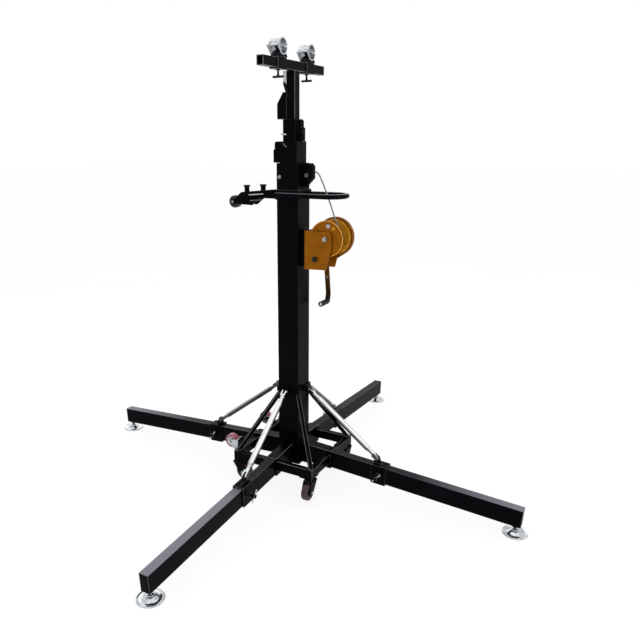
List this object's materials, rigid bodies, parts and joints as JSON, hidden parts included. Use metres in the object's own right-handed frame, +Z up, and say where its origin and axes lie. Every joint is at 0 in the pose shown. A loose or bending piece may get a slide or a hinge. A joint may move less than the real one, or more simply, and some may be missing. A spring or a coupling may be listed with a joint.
{
  "type": "crank lighting stand",
  "caption": "Crank-up telescopic lighting tower with nested square tubes, a geared hand winch, braced slide-out outrigger legs, screw feet, casters and a T bar with hinged tube couplers.",
  "frame": {"origin": "on the ground under the mast axis", "axes": "+Z up along the mast, +X towards the winch and the tow handle, -Y towards the front leg; the T bar runs along Y"},
  "size_m": [2.108, 2.108, 1.8773],
  "materials": {
    "black_paint": "semi-gloss black paint",
    "chrome": "bright chrome plating",
    "bright_zinc": "bright zinc plating",
    "amber_zinc": "amber passivated zinc plating",
    "red_tyre": "dark red moulded tread",
    "black_plastic": "matt moulded",
    "wire_rope": "stranded galvanised wire"
  },
  "bodies": {
    "base": {"base_frame": "black_paint", "outer_mast": "black_paint", "brace_right": "chrome", "brace_rear": "chrome", "brace_left": "chrome", "brace_front": "chrome", "collar_right": "black_paint", "collar_rear": "black_paint", "collar_left": "black_paint", "collar_front": "black_paint", "tow_handle": "black_paint", "transport_arm": "black_paint", "side_fork_front": "bright_zinc", "side_fork_rear": "bright_zinc", "winch_frame": "amber_zinc", "gear_cover": "amber_zinc", "lifting_rope": "wire_rope"},
    "stage_2": {"second_tube": "black_paint"},
    "stage_3": {"third_tube": "black_paint"},
    "stage_4": {"fourth_tube": "black_paint", "head_bar": "black_paint", "head_strap": "bright_zinc"},
    "sheave_1": {"head_sheave": "bright_zinc"},
    "sheave_2": {"second_sheave": "bright_zinc"},
    "sheave_3": {"third_sheave": "bright_zinc"},
    "drum": {"winch_drum": "amber_zinc", "rope_winding": "wire_rope"},
    "crank_arm": {"crank": "amber_zinc"},
    "grip": {"crank_grip": "black_plastic"},
    "slide_front": {"carriage_front": "black_paint", "coupler_saddle_front": "bright_zinc"},
    "slide_rear": {"carriage_rear": "black_paint", "coupler_saddle_rear": "bright_zinc"},
    "handle_front": {"carriage_screw_front": "black_paint"},
    "handle_rear": {"carriage_screw_rear": "black_paint"},
    "jaw_front": {"coupler_jaw_front": "bright_zinc"},
    "jaw_rear": {"coupler_jaw_rear": "bright_zinc"},
    "outrigger_right": {"leg_right": "black_paint"},
    "outrigger_rear": {"leg_rear": "black_paint"},
    "outrigger_left": {"leg_left": "black_paint"},
    "outrigger_front": {"leg_front": "black_paint"},
    "pad_right": {"foot_right": "bright_zinc"},
    "pad_rear": {"foot_rear": "bright_zinc"},
    "pad_left": {"foot_left": "bright_zinc"},
    "pad_front": {"foot_front": "bright_zinc"},
    "screw_right": {"lock_screw_right": "bright_zinc"},
    "screw_rear": {"lock_screw_rear": "bright_zinc"},
    "screw_left": {"lock_screw_left": "bright_zinc"},
    "screw_front": {"lock_screw_front": "bright_zinc"},
    "swivel_front_right": {"caster_fork_front_right": "black_paint"},
    "swivel_rear_right": {"caster_fork_rear_right": "black_paint"},
    "swivel_rear_left": {"caster_fork_rear_left": "black_paint"},
    "swivel_front_left": {"caster_fork_front_left": "black_paint"},
    "wheel_front_right": {"caster_wheel_front_right": "red_tyre"},
    "wheel_rear_right": {"caster_wheel_rear_right": "red_tyre"},
    "wheel_rear_left": {"caster_wheel_rear_left": "red_tyre"},
    "wheel_front_left": {"caster_wheel_front_left": "red_tyre"},
    "roller_front": {"side_wheel_front": "red_tyre"},
    "roller_rear": {"side_wheel_rear": "red_tyre"},
    "roller_top": {"top_wheel": "red_tyre"}
  },
  "joints": [
    {"name": "stage_2_slide", "type": "slide", "parent": "base", "child": "stage_2", "axis": [0, 0, 1], "range_m": [0, 1.15]},
    {"name": "stage_3_slide", "type": "slide", "parent": "stage_2", "child": "stage_3", "axis": [0, 0, 1], "range_m": [0, 1.15]},
    {"name": "stage_4_slide", "type": "slide", "parent": "stage_3", "child": "stage_4", "axis": [0, 0, 1], "range_m": [0, 1.15]},
    {"name": "drum_turn", "type": "hinge", "parent": "base", "child": "drum", "pos_m": [0.174, 0, 1.117], "axis": [0, 1, 0], "range_deg": [0, 1320]},
    {"name": "crank_turn", "type": "hinge", "parent": "base", "child": "crank_arm", "pos_m": [0.12918, 0, 1.03199], "axis": [0, 1, 0], "range_deg": [-4750, 0]},
    {"name": "grip_spin", "type": "hinge", "parent": "crank_arm", "child": "grip", "pos_m": [0.09995, 0.0936, 0.81293], "axis": [0, 1, 0], "continuous": true},
    {"name": "sheave_1_turn", "type": "hinge", "parent": "base", "child": "sheave_1", "pos_m": [0.069, 0, 1.3663], "axis": [0, 1, 0], "range_deg": [0, 2560]},
    {"name": "sheave_2_turn", "type": "hinge", "parent": "stage_2", "child": "sheave_2", "pos_m": [-0.059, 0, 1.4518], "axis": [0, 1, 0], "range_deg": [-2560, 0]},
    {"name": "sheave_3_turn", "type": "hinge", "parent": "stage_3", "child": "sheave_3", "pos_m": [0.0355, 0, 1.5373], "axis": [0, 1, 0], "range_deg": [0, 5300]},
    {"name": "slide_front_move", "type": "slide", "parent": "stage_4", "child": "slide_front", "axis": [0, 1, 0], "range_m": [-0.095, 0.055]},
    {"name": "slide_rear_move", "type": "slide", "parent": "stage_4", "child": "slide_rear", "axis": [0, 1, 0], "range_m": [-0.055, 0.095]},
    {"name": "handle_front_turn", "type": "hinge", "parent": "slide_front", "child": "handle_front", "pos_m": [0, -0.115, 1.75], "axis": [0, 0, 1], "continuous": true},
    {"name": "handle_rear_turn", "type": "hinge", "parent": "slide_rear", "child": "handle_rear", "pos_m": [0, 0.115, 1.75], "axis": [0, 0, 1], "continuous": true},
    {"name": "jaw_front_hinge", "type": "hinge", "parent": "slide_front", "child": "jaw_front", "pos_m": [0, -0.1525, 1.8458], "axis": [1, 0, 0], "range_deg": [0, 110]},
    {"name": "jaw_rear_hinge", "type": "hinge", "parent": "slide_rear", "child": "jaw_rear", "pos_m": [0, 0.0775, 1.8458], "axis": [1, 0, 0], "range_deg": [0, 110]},
    {"name": "leg_right_slide", "type": "slide", "parent": "base", "child": "outrigger_right", "axis": [0.9982, 0, -0.0593], "range_m": [0, 0.14]},
    {"name": "leg_rear_slide", "type": "slide", "parent": "base", "child": "outrigger_rear", "axis": [0, 0.9982, -0.0593], "range_m": [0, 0.14]},
    {"name": "leg_left_slide", "type": "slide", "parent": "base", "child": "outrigger_left", "axis": [-0.9982, 0, -0.0593], "range_m": [0, 0.14]},
    {"name": "leg_front_slide", "type": "slide", "parent": "base", "child": "outrigger_front", "axis": [0, -0.9982, -0.0593], "range_m": [0, 0.14]},
    {"name": "foot_right_screw", "type": "slide", "parent": "outrigger_right", "child": "pad_right", "axis": [0, 0, 1], "range_m": [0, 0.01]},
    {"name": "foot_rear_screw", "type": "slide", "parent": "outrigger_rear", "child": "pad_rear", "axis": [0, 0, 1], "range_m": [0, 0.01]},
    {"name": "foot_left_screw", "type": "slide", "parent": "outrigger_left", "child": "pad_left", "axis": [0, 0, 1], "range_m": [0, 0.01]},
    {"name": "foot_front_screw", "type": "slide", "parent": "outrigger_front", "child": "pad_front", "axis": [0, 0, 1], "range_m": [0, 0.01]},
    {"name": "screw_right_turn", "type": "hinge", "parent": "base", "child": "screw_right", "pos_m": [0.43024, -0.04, 0.11094], "axis": [0, 1, 0], "continuous": true},
    {"name": "screw_rear_turn", "type": "hinge", "parent": "base", "child": "screw_rear", "pos_m": [-0.04, 0.43024, 0.11094], "axis": [1, 0, 0], "continuous": true},
    {"name": "screw_left_turn", "type": "hinge", "parent": "base", "child": "screw_left", "pos_m": [-0.43024, -0.04, 0.11094], "axis": [0, 1, 0], "continuous": true},
    {"name": "screw_front_turn", "type": "hinge", "parent": "base", "child": "screw_front", "pos_m": [0.04, -0.43024, 0.11094], "axis": [1, 0, 0], "continuous": true},
    {"name": "swivel_front_right_turn", "type": "hinge", "parent": "base", "child": "swivel_front_right", "pos_m": [0.181, -0.181, 0.098], "axis": [0, 0, 1], "continuous": true},
    {"name": "swivel_rear_right_turn", "type": "hinge", "parent": "base", "child": "swivel_rear_right", "pos_m": [0.181, 0.181, 0.098], "axis": [0, 0, 1], "continuous": true},
    {"name": "swivel_rear_left_turn", "type": "hinge", "parent": "base", "child": "swivel_rear_left", "pos_m": [-0.181, 0.181, 0.098], "axis": [0, 0, 1], "continuous": true},
    {"name": "swivel_front_left_turn", "type": "hinge", "parent": "base", "child": "swivel_front_left", "pos_m": [-0.181, -0.181, 0.098], "axis": [0, 0, 1], "continuous": true},
    {"name": "wheel_front_right_spin", "type": "hinge", "parent": "swivel_front_right", "child": "wheel_front_right", "pos_m": [0.181, -0.205, 0.0525], "axis": [1, 0, 0], "continuous": true},
    {"name": "wheel_rear_right_spin", "type": "hinge", "parent": "swivel_rear_right", "child": "wheel_rear_right", "pos_m": [0.181, 0.157, 0.0525], "axis": [1, 0, 0], "continuous": true},
    {"name": "wheel_rear_left_spin", "type": "hinge", "parent": "swivel_rear_left", "child": "wheel_rear_left", "pos_m": [-0.181, 0.157, 0.0525], "axis": [1, 0, 0], "continuous": true},
    {"name": "wheel_front_left_spin", "type": "hinge", "parent": "swivel_front_left", "child": "wheel_front_left", "pos_m": [-0.157, -0.181, 0.0525], "axis": [0, 1, 0], "continuous": true},
    {"name": "roller_front_spin", "type": "hinge", "parent": "base", "child": "roller_front", "pos_m": [-0.243, -0.148, 0.17], "axis": [0, 1, 0], "continuous": true},
    {"name": "roller_rear_spin", "type": "hinge", "parent": "base", "child": "roller_rear", "pos_m": [-0.243, 0.148, 0.17], "axis": [0, 1, 0], "continuous": true},
    {"name": "roller_top_spin", "type": "hinge", "parent": "base", "child": "roller_top", "pos_m": [-0.29, 0, 1.247], "axis": [0, 1, 0], "continuous": true}
  ],
  "couplings": [
    {"joint": "stage_3_slide", "follows": "stage_2_slide", "ratio": 1},
    {"joint": "stage_4_slide", "follows": "stage_2_slide", "ratio": 1},
    {"joint": "drum_turn", "follows": "stage_2_slide", "rad_per_m": 19.811},
    {"joint": "crank_turn", "follows": "stage_2_slide", "rad_per_m": -71.321},
    {"joint": "sheave_1_turn", "follows": "stage_2_slide", "rad_per_m": 38.462},
    {"joint": "sheave_2_turn", "follows": "stage_2_slide", "rad_per_m": -38.462},
    {"joint": "sheave_3_turn", "follows": "stage_2_slide", "rad_per_m": 80}
  ]
}
